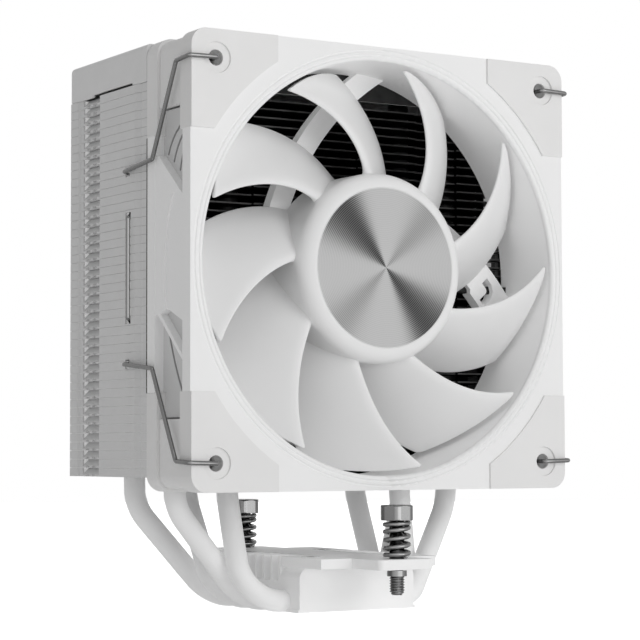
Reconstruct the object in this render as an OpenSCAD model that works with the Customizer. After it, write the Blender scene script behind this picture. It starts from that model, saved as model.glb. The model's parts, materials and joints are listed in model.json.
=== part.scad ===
// Tower cooler for a computer processor: a stack of thin fins on four bent heat
// pipes, a base with a sprung mounting bar, and one 120 mm fan held by two wire clips.
// Millimetres. The origin is the centre of the base's contact face, +Z is up and the
// fan faces -Y.

/* [Fan] */
// Side of the square fan frame
fan_size = 120; // [119:0.5:120]
// Depth of the fan, over its corner pads
fan_depth = 25; // [25:0.5:26]
// Height of the fan axis above the contact face
fan_z = 93; // [92:0.5:96]
// Distance between neighbouring fixing holes
hole_pitch = 105; // [104:0.5:106]
// Radius of the air duct
duct_r = 56.2; // [56:0.1:56.6]
// Number of blades
blade_count = 9; // [5:1:9]
// Radius of the blade tips
blade_tip_r = 55; // [53:0.5:55.2]
// Radius of the hub
hub_r = 26; // [25.5:0.25:26.5]
// Radius of the metal disc on the hub
disc_r = 21.6; // [20:0.2:22]

/* [Fin stack] */
// Number of fins
fin_count = 44; // [20:1:44]
// Distance between fins
fin_pitch = 2.4; // [2:0.1:2.4]
// Thickness of a fin
fin_t = 0.4; // [0.3:0.05:0.5]
// Height of the lowest fin
stack_z = 36.7; // [36:0.1:38]
// Width of the fin stack
stack_w = 120; // [120:0.5:122]
// Front edge of the fins
stack_front = -11.7; // [-11.8:0.1:-11.4]
// Rear edge of the fins
stack_back = 35; // [33:0.5:37]
// Height of the top cover
cover_h = 10.2; // [9:0.2:12]

/* [Heat pipes] */
// Diameter of a pipe
pipe_d = 6; // [5.6:0.1:6]
// Sideways distance from the centre to the inner legs
inner_leg_x = 28.6; // [27.6:0.2:29.2]
// Sideways distance from the centre to the outer legs
outer_leg_x = 45; // [44:0.2:46]
// Place of the front legs in depth
front_leg_y = 0.4; // [0:0.2:0.8]
// Place of the rear legs in depth
rear_leg_y = 24.4; // [24:0.2:25]

/* [Base] */
// Width of the base block
base_w = 37; // [36.5:0.1:37.2]
// Depth of the base block
base_d = 43; // [42:0.5:44]
// Height of the base block
base_h = 12.1; // [11.5:0.1:12.4]
// Thickness of the mounting bar
bar_t = 2.8; // [2.4:0.1:3]
// Distance from the centre to each mounting screw
screw_reach = 41; // [40:0.5:42]
// Thread diameter of a mounting screw
thread_d = 4; // [3.5:0.1:4]

/* [Wire clips] */
// Diameter of the clip wire
wire_d = 1.2; // [1:0.1:1.3]

/* [Hidden] */

half_fan = fan_size / 2;
fan_front = -12 - fan_depth;
pipe_r = pipe_d / 2;
pipe_z = pipe_r - 0.2;
knee_bend_r = 14;
wire_r = wire_d / 2;
stack_top = stack_z + (fin_count - 1) * fin_pitch + fin_pitch - 0.2;
cover_z = stack_top + 0.2;
cover_top = cover_z + cover_h;
side_x = stack_w / 2;
flange_t = 0.4;

// Depths inside the fan, measured back from the front face of the pads
front_flange = [0.6, 4.9];
rear_flange = [20.4, 24.6];
front_pad = [0, 6.3];
rear_pad = [19, fan_depth];
front_lug = [2.2, 4.7];
rear_lug = [20.6, 23.1];
pad_start = 34;
pad_arc_r = 63;
pad_hole_r = 2.1;
duct_wall = 1.8;
strut_depth = [20.6, 24.4];
cup_r = 23.7;
shaft_r = 1.5;
shaft_gap = 0.03;
hub_wall = 1.7;
hub_back = 19.4;
board_depth = [16.2, 17.2];

// Screw levels, measured up from the contact face
bar_z = base_h + 0.02;
bar_top = bar_z + bar_t;
ring_z = [10.2, 11.9];
head_z = [25.1, 29.2];
screw_tip_z = 5.3;
screw_neck_r = 1.6;
retaining_ring_r = 2.65;
spring_r = 3.8;
spring_wire = 1.2;
screw_seat_r = 2.35;
dead_turns = 0.8;

// The places where each clip passes the fin stack's side
clip_hold_depth = 36.6;
clip_bend_up = 26;
clip_slot_up = 13.5;

// ---------------------------------------------------------------- helpers

function unit(v) = v / norm(v);
function lerp(a, b, t) = a + (b - a) * t;

// Points on a quadratic curve from a to c, pulled towards b
function curve(a, b, c, steps) =
    [for (i = [0 : steps]) let (t = i / steps) lerp(lerp(a, b, t), lerp(b, c, t), t)];

// A flat strip of the given width along a list of 2D points
function strip(path, width) =
    let (last = len(path) - 1)
    let (side = [for (i = [0 : last])
        let (d = unit(path[min(i + 1, last)] - path[max(i - 1, 0)]))
        [-d[1], d[0]] * width / 2])
    concat([for (i = [0 : last]) path[i] + side[i]],
           [for (i = [last : -1 : 0]) path[i] - side[i]]);

// Half the turn at corner i, and how far its rounding reaches along each side
function half_turn(points, i) =
    acos(unit(points[i] - points[i - 1]) * unit(points[i + 1] - points[i])) / 2;
function reach(points, radii, i) = radii[i] * tan(half_turn(points, i));

// Points round the bend at corner i, from the end of one straight to the next
function bend(points, radii, i, steps) =
    let (before = unit(points[i] - points[i - 1]))
    let (after = unit(points[i + 1] - points[i]))
    let (start = points[i] - before * reach(points, radii, i))
    let (inward = unit(after - before * (before * after)))
    [for (k = [0 : steps])
        let (a = 2 * half_turn(points, i) * k / steps)
        start + radii[i] * (before * sin(a) + inward * (1 - cos(a)))];

function rounded_path(points, radii, steps) =
    let (last = len(points) - 1)
    concat([points[0]],
           [for (i = [1 : last - 1]) each bend(points, radii, i, steps)],
           [points[last]]);

function directions(path) =
    let (last = len(path) - 1)
    [for (i = [0 : last]) unit(path[min(i + 1, last)] - path[max(i - 1, 0)])];

function square_to(v, dir) = unit(v - dir * (v * dir));

// One sideways vector for each point of a path, carried along without twisting
function carried(dirs, first) =
    [for (i = 0, v = square_to(first, dirs[0]);
          i < len(dirs);
          i = i + 1, v = i < len(dirs) ? square_to(v, dirs[i]) : v) v];

// Rings of points round a path. Nothing goes lower than floor_z.
function tube_rings(path, r, sides, floor_z) =
    let (dirs = directions(path))
    let (across = carried(dirs, [0.1, 0.2, 1]))
    [for (i = [0 : len(path) - 1])
        [for (k = [0 : sides - 1])
            let (a = 360 * (k + 0.5) / sides)
            let (p = path[i] + r * (cos(a) * across[i] + sin(a) * cross(dirs[i], across[i])))
            [p[0], p[1], max(p[2], floor_z)]]];

// A closed solid through rings that all have the same, even number of points
module loft(rings) {
    m = len(rings[0]);
    last = len(rings) - 1;
    skin = [for (i = [0 : last - 1]) for (k = [0 : m - 1])
        let (a = i * m + k)
        let (b = i * m + (k + 1) % m)
        each [[a, a + m, b], [b, a + m, b + m]]];
    start_cap = [for (k = [0 : m / 2 - 2])
        each [[k, k + 1, m - 1 - k], [k + 1, m - 2 - k, m - 1 - k]]];
    end_cap = [for (f = start_cap) [f[2], f[1], f[0]] + [last * m, last * m, last * m]];
    polyhedron([for (ring = rings) each ring], concat(skin, start_cap, end_cap));
}

module bent_rod(points, radii, r, sides = 16, steps = 5, floor_z = -1000) {
    loft(tube_rings(rounded_path(points, radii, steps), r, sides, floor_z));
}

// A rectangle with round corners
module rounded_rect(w, h, r) {
    square([w, h - 2 * r], center = true);
    square([w - 2 * r, h], center = true);
    for (x = [-1, 1], y = [-1, 1])
        translate([x * (w / 2 - r), y * (h / 2 - r)])
            circle(r = r, $fn = 48);
}

module rounded_square(size, r) { rounded_rect(size, size, r); }

module mirrored_x() {
    children();
    mirror([1, 0, 0]) children();
}

module four_corners(pitch) {
    for (x = [-1, 1], y = [-1, 1])
        translate([x * pitch / 2, y * pitch / 2])
            children();
}

// Fan space: x to the right and y up as seen from the front, depth runs back from the
// front face along -z.
module fan_space() {
    translate([0, fan_front, fan_z])
        rotate([90, 0, 0])
            children();
}

// A flat shape with its front and rear faces at the two depths
module slab(depths) {
    translate([0, 0, -depths[1]])
        linear_extrude(depths[1] - depths[0])
            children();
}

// A turned shape from points of radius and depth
module turned(points) {
    rotate_extrude($fn = 128)
        polygon([for (p = points) [p[0], -p[1]]]);
}

module ring_slab(r_in, r_out, depths) {
    slab(depths)
        difference() {
            circle(r = r_out, $fn = 128);
            circle(r = r_in, $fn = 128);
        }
}

// A plate on the fan's left side, drawn in depth and height, between two distances in
// from the side face
module side_plate(from, to) {
    translate([from - half_fan, 0, 0])
        rotate([0, 90, 0])
            linear_extrude(to - from)
                children();
}

// ---------------------------------------------------------------- base

comb_depth = 22.5;
comb_wall = 1;
comb_slots = 5;
comb_inner = 9.6;
comb_floor = 8.2;
pipe_rows = [-13.5, -4.5, 4.5, 13.5];
groove_gap = 0.02;
bar_screw_x = 12.5;
bar_screw_y = 17.5;
bar_screw_z = 7;
bar_screw_r = 1.5;
bar_screw_head_r = 2.9;

module base_profile() {
    corner = 3;
    lip = 0.5;
    translate([-base_w / 2, 0]) square([base_w, base_h - corner]);
    translate([corner - base_w / 2, 0]) square([base_w - 2 * corner, base_h]);
    mirrored_x()
        translate([base_w / 2 - corner, base_h - corner])
            circle(r = corner, $fn = 48);
    translate([-base_w / 2 - lip, 0]) square([base_w + 2 * lip, 0.8]);
}

module base_block() {
    pitch = (comb_depth - comb_wall) / comb_slots;
    color("white") difference() {
        union() {
            translate([0, base_d / 2, 0])
                rotate([90, 0, 0])
                    linear_extrude(base_d)
                        base_profile();
            mirrored_x()
                translate([comb_inner, -comb_depth / 2, 0])
                    cube([base_w / 2 - comb_inner, comb_depth, bar_top]);
        }
        for (y = pipe_rows)
            translate([-base_w, y, pipe_z])
                rotate([0, 90, 0])
                    cylinder(r = pipe_r + groove_gap, h = 2 * base_w, $fn = 64);
        mirrored_x()
            for (i = [0 : comb_slots - 1])
                translate([comb_inner + 1.2, comb_wall + i * pitch - comb_depth / 2, comb_floor])
                    cube([base_w, pitch - comb_wall, bar_top]);
        bar_screw_places()
            cylinder(r = bar_screw_r + 0.02, h = base_h, $fn = 48);
    }
}

module bar_screw_places() {
    for (x = [-1, 1], y = [-1, 1])
        translate([x * bar_screw_x, y * bar_screw_y, bar_screw_z])
            children();
}

// ---------------------------------------------------------------- heat pipes

// Half of a U-shaped pipe, on the right: an upright leg, a run that slants down to the
// pipe's row, and a bend that ends just outside the base. Gives the points and the radii.
function pipe_half(leg_x, knee_z, foot_x, leg_y, row_y) =
    let (points = [[leg_x, leg_y, cover_z + 4], [leg_x, leg_y, knee_z], [foot_x, row_y, pipe_z],
                   [0, row_y, pipe_z]])
    let (foot_run = foot_x - base_w / 2 - 0.7)
    [points, [0, knee_bend_r, foot_run / tan(half_turn(points, 2))]];

function inner_half(foot_x, leg_y, row_y) = pipe_half(inner_leg_x, 31, foot_x, leg_y, row_y);
function outer_half(foot_x, leg_y, row_y) = pipe_half(outer_leg_x, 28.4, foot_x, leg_y, row_y);

module heat_pipe(left, right) {
    left_points = [for (i = [0 : 2]) let (p = left[0][i]) [-p[0], p[1], p[2]]];
    right_points = [for (i = [2 : -1 : 0]) right[0][i]];
    radii = concat(left[1], [for (i = [2 : -1 : 0]) right[1][i]]);
    color("white")
        bent_rod(concat(left_points, right_points), radii, pipe_r, sides = 24, steps = 5,
                 floor_z = 0);
}

// Each pipe has one inner and one outer leg, so all four are nearly alike. They are
// numbered from the front.
module heat_pipe_1() {
    heat_pipe(inner_half(31.5, front_leg_y, pipe_rows[0]), outer_half(22.8, front_leg_y, pipe_rows[0]));
}
module heat_pipe_2() {
    heat_pipe(outer_half(26.5, front_leg_y, pipe_rows[1]), inner_half(28.2, front_leg_y, pipe_rows[1]));
}
module heat_pipe_3() {
    heat_pipe(inner_half(29.8, rear_leg_y, pipe_rows[2]), outer_half(25.5, rear_leg_y, pipe_rows[2]));
}
module heat_pipe_4() {
    heat_pipe(outer_half(26.6, rear_leg_y, pipe_rows[3]), inner_half(29.5, rear_leg_y, pipe_rows[3]));
}

// ---------------------------------------------------------------- fin stack

// The fins' side edge, front to rear, as [how far in from the side, depth from the front]
side_edge = [[0.7, 0], [0.7, 4.1], [0, 6.6], [0, 38.4], [0.6, 39.2], [0.6, 41.6], [0, 42.2]];
stack_depth = stack_back - stack_front;
front_wave = 1.2;

function edge_points(inset) =
    concat([for (p = side_edge) [side_x - p[0] - inset, stack_front + p[1]]],
           [[side_x - inset, stack_back]]);

function mirrored_points(points) =
    [for (i = [len(points) - 1 : -1 : 0]) [-points[i][0], points[i][1]]];

// A fin's outline, with shallow notches between the airflow lobes of its front edge
module fin_outline() {
    difference() {
        polygon(concat(edge_points(0), mirrored_points(edge_points(0))));
        for (x = [-34, 0, 34])
            translate([x, stack_front])
                square([14, 2 * front_wave], center = true);
    }
}

module fin_flanges() {
    mirrored_x()
        polygon(concat(edge_points(0), [for (i = [len(side_edge) : -1 : 0]) edge_points(flange_t)[i]]));
}

// Where the folded edge leans inwards, in depth from the fin's front edge
comb_start = 28.1;
comb_length = 10.4;
flange_h = fin_pitch - 0.08;

// The leaning part of the folded edge, from the fin's rim up and inwards
module comb_tab() {
    lean = 1.9;
    translate([side_x, stack_front + comb_start + comb_length, 0])
        rotate([90, 0, 0])
            linear_extrude(comb_length)
                polygon([[0, 0], [0, fin_t], [-lean, flange_h], [-lean - flange_t, flange_h],
                         [-1.2, fin_t], [-1.2, 0]]);
}

// Two notches in the rim below each tab
module comb_notches() {
    for (depth = [1.6, 5.6])
        translate([side_x - 0.9, stack_front + comb_start + depth, -1])
            cube([2, 2.8, fin_t + 1.2]);
}

module fin() {
    mirrored_x()
        difference() {
            comb_tab();
            comb_notches();
        }
    difference() {
        union() {
            linear_extrude(fin_t) fin_outline();
            linear_extrude(flange_h) fin_flanges();
        }
        mirrored_x() {
            translate([side_x - 1.1, stack_front + comb_start, fin_t])
                cube([2, comb_length, fin_pitch]);
            comb_notches();
        }
    }
}

module fin_stack() {
    hold_y = fan_front + clip_hold_depth;
    color("white") difference() {
        for (i = [0 : fin_count - 1])
            translate([0, 0, stack_z + i * fin_pitch])
                fin();
        for (x = [-outer_leg_x, -inner_leg_x, inner_leg_x, outer_leg_x], y = [front_leg_y, rear_leg_y])
            translate([x, y, stack_z - 5])
                cylinder(r = pipe_r + 0.03, h = stack_top, $fn = 64);
        mirrored_x() {
            // The channel that holds the clip, behind the folded edges
            translate([side_x - 2.3, hold_y - 0.9, fan_z - clip_bend_up - 1.2])
                cube([2.3 - flange_t, 1.8, 2 * clip_bend_up + 2.4]);
            // The clip's way in and out at the channel's ends
            for (up = [-1, 1])
                translate([side_x - 2.3, hold_y - 1.5, fan_z + up * clip_bend_up - 1.3])
                    cube([3, 2.4, 2.6]);
            // The slot for the clip's middle
            translate([side_x - 2.3, hold_y - 2.2, fan_z - clip_slot_up - 1.6])
                cube([3, 3.1, 2 * clip_slot_up + 3.2]);
        }
    }
}

module top_cover() {
    corner = 1.6;
    skirt = 1;
    w = stack_w;
    d = stack_depth;
    color("white") difference() {
        union() {
            translate([-w / 2, stack_front, cover_z]) cube([w, d, cover_h - corner]);
            translate([corner - w / 2, stack_front, cover_z])
                cube([w - 2 * corner, d, cover_h]);
            mirrored_x()
                translate([w / 2 - corner, stack_back, cover_top - corner])
                    rotate([90, 0, 0])
                        cylinder(r = corner, h = d, $fn = 64);
        }
        translate([skirt - w / 2, stack_front + skirt, cover_z - 1])
            cube([w - 2 * skirt, d - 2 * skirt, cover_h - 0.8]);
        translate([-w, stack_front + 8.6, cover_z - 1])
            cube([2 * w, 24.2, 1.7]);
    }
}

// ---------------------------------------------------------------- mounting bar and screws

arm_w = 17.4;
wing_w = 37;
wing_y = [12, 32.5];

module bar_outline() {
    rounded_rect(arm_w, 2 * (screw_reach + 5), 1.6);
    for (s = [-1, 1])
        translate([0, s * (wing_y[0] + wing_y[1]) / 2])
            square([wing_w, wing_y[1] - wing_y[0]], center = true);
}

module mounting_bar() {
    color("white") difference() {
        translate([0, 0, bar_z]) linear_extrude(bar_t) bar_outline();
        for (s = [-1, 1])
            translate([0, s * screw_reach, 0])
                cylinder(r = screw_seat_r, h = 30, $fn = 64);
        bar_screw_places() {
            cylinder(r = bar_screw_r + 0.2, h = 30, $fn = 48);
            translate([0, 0, bar_top - bar_screw_z - 1.55])
                cylinder(r1 = bar_screw_r + 0.2, r2 = bar_screw_head_r + 0.3, h = 1.6, $fn = 48);
        }
    }
}

module bar_fixing_screws() {
    top = bar_top - bar_screw_z;
    color("silver") bar_screw_places()
        difference() {
            union() {
                cylinder(r = bar_screw_r, h = top - 1.3, $fn = 48);
                translate([0, 0, top - 1.5])
                    cylinder(r1 = bar_screw_r, r2 = bar_screw_head_r, h = 1.4, $fn = 48);
            }
            translate([0, 0, top - 1])
                cylinder(r = 1.1, h = 2, $fn = 6);
        }
}

module mount_screw(y) {
    hex_r = 4.9;
    color("silver") translate([0, y, 0])
        difference() {
            union() {
                translate([0, 0, screw_tip_z + 0.6])
                    cylinder(r = thread_d / 2, h = ring_z[0] - screw_tip_z - 0.6, $fn = 64);
                translate([0, 0, screw_tip_z])
                    cylinder(r1 = thread_d / 2 - 0.6, r2 = thread_d / 2, h = 0.6, $fn = 64);
                translate([0, 0, ring_z[0]])
                    cylinder(r = screw_neck_r, h = ring_z[1] - ring_z[0], $fn = 64);
                translate([0, 0, ring_z[1]])
                    cylinder(r = thread_d / 2, h = head_z[0] - ring_z[1], $fn = 64);
                translate([0, 0, head_z[0]])
                    intersection() {
                        cylinder(r = hex_r, h = head_z[1] - head_z[0], $fn = 6);
                        union() {
                            cylinder(r1 = 4.4, r2 = 5, h = 0.5, $fn = 64);
                            translate([0, 0, 0.5]) cylinder(r = 5, h = 3, $fn = 64);
                            translate([0, 0, 3.5]) cylinder(r1 = 5, r2 = 4.3, h = 0.6, $fn = 64);
                        }
                    }
            }
            // Cross recess in the head
            for (turn = [0, 90])
                translate([0, 0, head_z[1] - 1.8])
                    rotate([0, 0, turn])
                        translate([-2.4, -0.5, 0])
                            cube([4.8, 1, 3]);
        }
}

module retaining_ring(y) {
    color("silver") translate([0, y, ring_z[0] + 0.1])
        difference() {
            cylinder(r = retaining_ring_r, h = ring_z[1] - ring_z[0] - 0.2, $fn = 64);
            translate([0, 0, -1]) cylinder(r = screw_neck_r + 0.04, h = 4, $fn = 64);
        }
}

// Height of the coil's centre line after some turns: its first and last turns lie closed
function coil_height(turn, turns, travel) =
    let (closed = spring_wire * 0.56)
    turn < dead_turns ? closed * turn / dead_turns
    : turn > turns - dead_turns ? travel - closed * (turns - turn) / dead_turns
    : lerp(closed, travel - closed, (turn - dead_turns) / (turns - 2 * dead_turns));

module screw_spring(y) {
    turns = 5;
    steps_per_turn = 14;
    seat_gap = 0.02;
    mid_r = spring_r - spring_wire / 2;
    low = bar_top + seat_gap + spring_wire / 2;
    travel = head_z[0] - seat_gap - spring_wire / 2 - low;
    path = [for (i = [0 : turns * steps_per_turn])
        let (turn = i / steps_per_turn)
        [mid_r * cos(360 * turn), mid_r * sin(360 * turn), low + coil_height(turn, turns, travel)]];
    color("silver") translate([0, y, 0])
        loft(tube_rings(path, spring_wire / 2, 8, 0));
}

module front_mount_screw() { mount_screw(-screw_reach); }
module rear_mount_screw() { mount_screw(screw_reach); }
module front_screw_spring() { screw_spring(-screw_reach); }
module rear_screw_spring() { screw_spring(screw_reach); }
module front_retaining_ring() { retaining_ring(-screw_reach); }
module rear_retaining_ring() { retaining_ring(screw_reach); }

// ---------------------------------------------------------------- fan frame

// The corner that a pad covers, seen from the front
module pad_area() {
    difference() {
        rounded_square(fan_size, 4.5);
        square([2 * pad_start, 2 * fan_size], center = true);
        square([2 * fan_size, 2 * pad_start], center = true);
        circle(r = pad_arc_r, $fn = 128);
    }
}

// The corner lugs of the frame that the pads are pushed over
module lug_area(gap) {
    difference() {
        rounded_square(fan_size - 6 + 2 * gap, 3);
        square([2 * (pad_start - 2) - 2 * gap, 2 * fan_size], center = true);
        square([2 * fan_size, 2 * (pad_start - 2) - 2 * gap], center = true);
        circle(r = pad_arc_r - 2 - gap, $fn = 128);
    }
}

module flange(depths) {
    slab(depths)
        difference() {
            rounded_square(fan_size, 4.5);
            pad_area();
            circle(r = duct_r, $fn = 128);
        }
}

module lugs(depths) {
    slab(depths)
        difference() {
            lug_area(0);
            four_corners(hole_pitch) circle(r = pad_hole_r + 0.1, $fn = 48);
        }
}

// Curved grooves above and below the web, drawn in depth and height on the left side
upper_grooves = [
    [[6.2, 37.3], [14.5, 35.5], [17.6, 28.6]],
    [[6.2, 35.2], [11.8, 32.8], [14.4, 26.4]],
    [[6.0, 32.6], [9.4, 29.6], [11.0, 23.8]],
    [[5.0, 29.8], [7.2, 26.8], [7.6, 21.2]]
];
lower_grooves = [
    [[16.8, -18.8], [12.6, -31], [6.0, -38.5]],
    [[11.2, -19.8], [9.6, -28], [4.6, -34.5]],
    [[7.2, -23.4], [6.8, -27], [4.6, -30.5]]
];

louvre_in = 2.6;

module louvre_area() {
    top = 40.5;
    translate([front_flange[1] - 0.3, -top])
        square([rear_flange[0] - front_flange[1] + 0.6, 2 * top]);
}

module groove_set(grooves) {
    groove_w = 0.9;
    for (g = grooves)
        polygon(strip(curve(g[0], g[1], g[2], 6), groove_w));
}

module side_web() {
    crease = [[10.4, 18], [13.8, 11], [15.2, 0], [15.1, -7.3], [14.1, -12.2]];
    side_plate(0.15, 6)
        polygon(concat([[20.5, 28.4], [18.6, 28.4], [4.6, 16.6], [4.6, 15.4]], crease,
                       [[18.2, -13.6], [20.5, -13.6]]));
    side_plate(0.6, 6)
        polygon(concat([[4.6, 16]], crease, [[4.6, -16.2]]));
    side_plate(0.35, 8)
        polygon(strip([[20.5, -11.6], [4.6, -26]], 1.1));
    side_plate(louvre_in, louvre_in + 1.2)
        difference() {
            louvre_area();
            groove_set(upper_grooves);
            groove_set(lower_grooves);
        }
    side_plate(louvre_in + 1, louvre_in + 5)
        louvre_area();
}

strut_arc_x = 50.3;
strut_arc_y = -7.7;
strut_arc_r = 76;
strut_w = 6;

// A curved strut between the cup and the duct, of which the part beyond a height is kept
module strut(arc_r, width, start) {
    intersection() {
        difference() {
            translate([strut_arc_x, strut_arc_y]) circle(r = arc_r + width / 2, $fn = 256);
            translate([strut_arc_x, strut_arc_y]) circle(r = arc_r - width / 2, $fn = 256);
        }
        difference() {
            circle(r = duct_r + duct_wall / 2, $fn = 128);
            circle(r = cup_r - 0.5, $fn = 128);
        }
        translate([-42, start]) square([60, 60]);
    }
}

// The wide strut carries the cable, in a channel in its rear face; its side has a small step
cable_strut_arc_r = 73.3;
cable_strut_w = 9.2;
cable_strut_start = 17;
cable_r = 1.1;
cable_depth = strut_depth[1] - 0.9;
cable_z = -3;
cable_start_x = 17.2;

module cable_strut() {
    inner_r = cable_strut_arc_r - cable_strut_w / 2;
    strut(cable_strut_arc_r, cable_strut_w, cable_strut_start);
    intersection() {
        strut(inner_r - 0.4, 1, cable_strut_start);
        translate([0, 42.2]) square([20, 20]);
    }
}

// A bent slot that leaves a tongue in the wide strut, to hold the cable
module cable_hook_hole() {
    path = [[47.3, -0.45], [48.75, -2.1], [49.15, -3.5], [48.6, -4.9], [46.3, -6.9]];
    slot_w = 2.3;
    polygon(strip(path, slot_w));
}

module cable_channel() {
    slab([cable_depth - cable_r - 0.1, fan_depth + 1])
        translate([15, cable_z - cable_r - 0.1])
            square([half_fan, 2 * cable_r + 0.2]);
}

module motor_cup() {
    turned([[4.6, 21.2], [22.6, 21.2], [22.6, 19.8], [cup_r, 19.8], [cup_r, 24.4], [4.6, 24.4]]);
}

// What rounds the front edge of the duct
module mouth_edge() {
    edge_r = 0.8;
    z = -front_flange[0] - edge_r;
    rotate_extrude($fn = 128)
        difference() {
            translate([duct_r - 1, z]) square(edge_r + 1);
            translate([duct_r + edge_r, z]) circle(r = edge_r, $fn = 48);
        }
}

// A round-bottomed groove in the front flange
module mouth_groove(r) {
    rotate_extrude($fn = 128)
        translate([r, 0.2 - front_flange[0]])
            circle(r = 0.45, $fn = 32);
}

// The depths that are cleared for the pads, apart from the lugs
pad_spaces = [[-1, front_pad[1] + 0.02], [rear_pad[0] - 0.02, fan_depth + 1]];

module fan_frame() {
    color("white") fan_space() {
        difference() {
            union() {
                flange(front_flange);
                flange(rear_flange);
                ring_slab(duct_r, duct_r + duct_wall, [front_flange[0], rear_flange[1]]);
                for (turn = [0 : 90 : 270])
                    rotate([0, 0, turn])
                        difference() {
                            side_web();
                            slab([0, fan_depth]) circle(r = duct_r + 0.5, $fn = 128);
                        }
            }
            mouth_edge();
            for (r = [duct_r + 1.4, duct_r + 2.7])
                mouth_groove(r);
            for (depths = pad_spaces)
                slab(depths) pad_area();
            cable_channel();
        }
        lugs(front_lug);
        lugs(rear_lug);
        difference() {
            union() {
                for (turn = [0, 90, 180])
                    rotate([0, 0, turn])
                        slab(strut_depth) strut(strut_arc_r, strut_w, 0);
                rotate([0, 0, 270])
                    slab(strut_depth) cable_strut();
                motor_cup();
            }
            slab([0, fan_depth + 1]) cable_hook_hole();
            cable_channel();
            slab([0, fan_depth + 1])
                translate([cable_start_x, cable_z]) circle(r = cable_r + 0.2, $fn = 48);
        }
    }
}

// The shallow pocket in the inner face of a rear pad
module pad_pocket() {
    slab([rear_pad[0] - 1, rear_pad[0] + 0.9])
        for (x = [-1, 1], y = [-1, 1])
            translate([x * 49.8, y * 49.6])
                rounded_rect(13, 14.8, 1.5);
}

module corner_pads(depths, lug) {
    recess = 0.6;
    color("white") fan_space()
        difference() {
            slab(depths) pad_area();
            slab([lug[0] - 0.03, lug[1] + 0.03]) lug_area(0.03);
            slab([-1, fan_depth + 1])
                four_corners(hole_pitch) circle(r = pad_hole_r, $fn = 48);
            slab(depths[0] == 0 ? [-1, recess] : [fan_depth - recess, fan_depth + 1])
                four_corners(hole_pitch) circle(r = 4.1, $fn = 64);
            pad_pocket();
        }
}

// Thin walls of the front pads that reach back to the rear pads
module pad_skirts() {
    inset = 0.8;
    start = 41;
    color("white") fan_space()
        slab([front_pad[1] - 0.1, rear_pad[0] - 0.02])
            difference() {
                rounded_square(fan_size - 2 * inset, 3.7);
                rounded_square(fan_size - 2 * inset - 3.4, 2);
                square([2 * start, 2 * fan_size], center = true);
                square([2 * fan_size, 2 * start], center = true);
            }
}

module front_corner_pads() {
    corner_pads(front_pad, front_lug);
    pad_skirts();
}
module rear_corner_pads() { corner_pads(rear_pad, rear_lug); }

// ---------------------------------------------------------------- rotor

// Angles of the blade's edges at a radius, from the angle of its front tip
function tip_share(r) = (blade_tip_r - r) / (blade_tip_r - hub_r);
function lead_angle(r) = -0.895 * (blade_tip_r - r) - 5 * tip_share(r) * (1 - tip_share(r));
function trail_angle(r) = -29 - 1.13 * (blade_tip_r - r);
function lead_depth(r) = 1.8 + 3.8 * pow(tip_share(r), 3);
trail_depth = 19.2;
first_tip_angle = 3.3;

// How far back the blade lies at a share s of its chord: flatter at its front
function blade_depth(r, s) =
    lerp(lead_depth(r), trail_depth, s - 0.22 * s * (1 - s));
function blade_thickness(r, s) =
    (s == 0 ? 0.5 : 1.9 - 1.3 * s) * (s == 1 ? 0.8 : 1);

// A point of the blade's mid surface pushed out sideways by a share of its thickness
function blade_point(r, s, side) =
    let (angle = lerp(lead_angle(r), trail_angle(r), s))
    let (run = r * (lead_angle(r) - trail_angle(r)) * PI / 180)
    let (rise = trail_depth - lead_depth(r))
    let (push = side * blade_thickness(r, s) / 2 / norm([run, rise]))
    [r * cos(angle) - sin(angle) * rise * push,
     r * sin(angle) + cos(angle) * rise * push,
     -blade_depth(r, s) - run * push];

blade_radii = [24.9, 30, 35, 40, 45, 50, 53.6];
blade_shares = [0, 0.08, 0.25, 0.45, 0.65, 0.85, 1];

function blade_ring(r, low, high) =
    let (shares = [for (s = blade_shares) lerp(low, high, s)])
    concat([for (s = shares) blade_point(r, s, -1)],
           [for (i = [len(shares) - 1 : -1 : 0]) blade_point(r, shares[i], 1)]);

module blade() {
    loft(concat([for (r = blade_radii) blade_ring(r, 0, 1)],
                [blade_ring(blade_tip_r - 0.5, 0.03, 0.97), blade_ring(blade_tip_r, 0.08, 0.92)]));
}

module impeller() {
    inner_r = hub_r - hub_wall;
    color("white") fan_space() {
        for (i = [0 : blade_count - 1])
            rotate([0, 0, first_tip_angle + i * 360 / blade_count])
                blade();
        turned([[shaft_r, 1.6], [disc_r + 0.1, 1.6], [disc_r + 0.1, 0.6], [22.4, 0.9], [23.6, 1.4],
                [24.8, 2.3], [25.6, 3.4], [hub_r, 4.8], [hub_r, hub_back], [inner_r, hub_back],
                [inner_r, 3.6], [inner_r - 1.4, 3], [4.6, 3], [4.2, 6], [shaft_r, 6]]);
    }
}

module hub_cap_disc() {
    color("silver") fan_space()
        turned([[0, 0.5], [disc_r, 0.5], [disc_r, 1.5], [0, 1.5]]);
}

yoke_r = hub_r - hub_wall - 0.02;
magnet_r = [21.7, yoke_r - 0.9];

module rotor_yoke() {
    color("gray") fan_space()
        turned([[8, 3.7], [yoke_r, 3.7], [yoke_r, 17.6], [yoke_r - 0.88, 17.6],
                [yoke_r - 0.88, 4.6], [8, 4.6]]);
}

module rotor_magnet() {
    color("dimgray") fan_space()
        ring_slab(magnet_r[0], magnet_r[1], [5.4, 15.4]);
}

module fan_shaft() {
    color("silver") fan_space()
        turned([[0, 1.6], [shaft_r, 1.6], [shaft_r, 19.4], [1.1, 19.4], [1.1, 20],
                [shaft_r, 20], [shaft_r, 20.4], [1, 20.8], [0, 20.8]]);
}

module shaft_lock_ring() {
    color("silver") fan_space()
        ring_slab(1.12, 2.7, [19.45, 19.95]);
}

// ---------------------------------------------------------------- motor

sleeve_r = 3.9;
housing_r = 4.6;
bore_r = shaft_r + shaft_gap;

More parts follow.
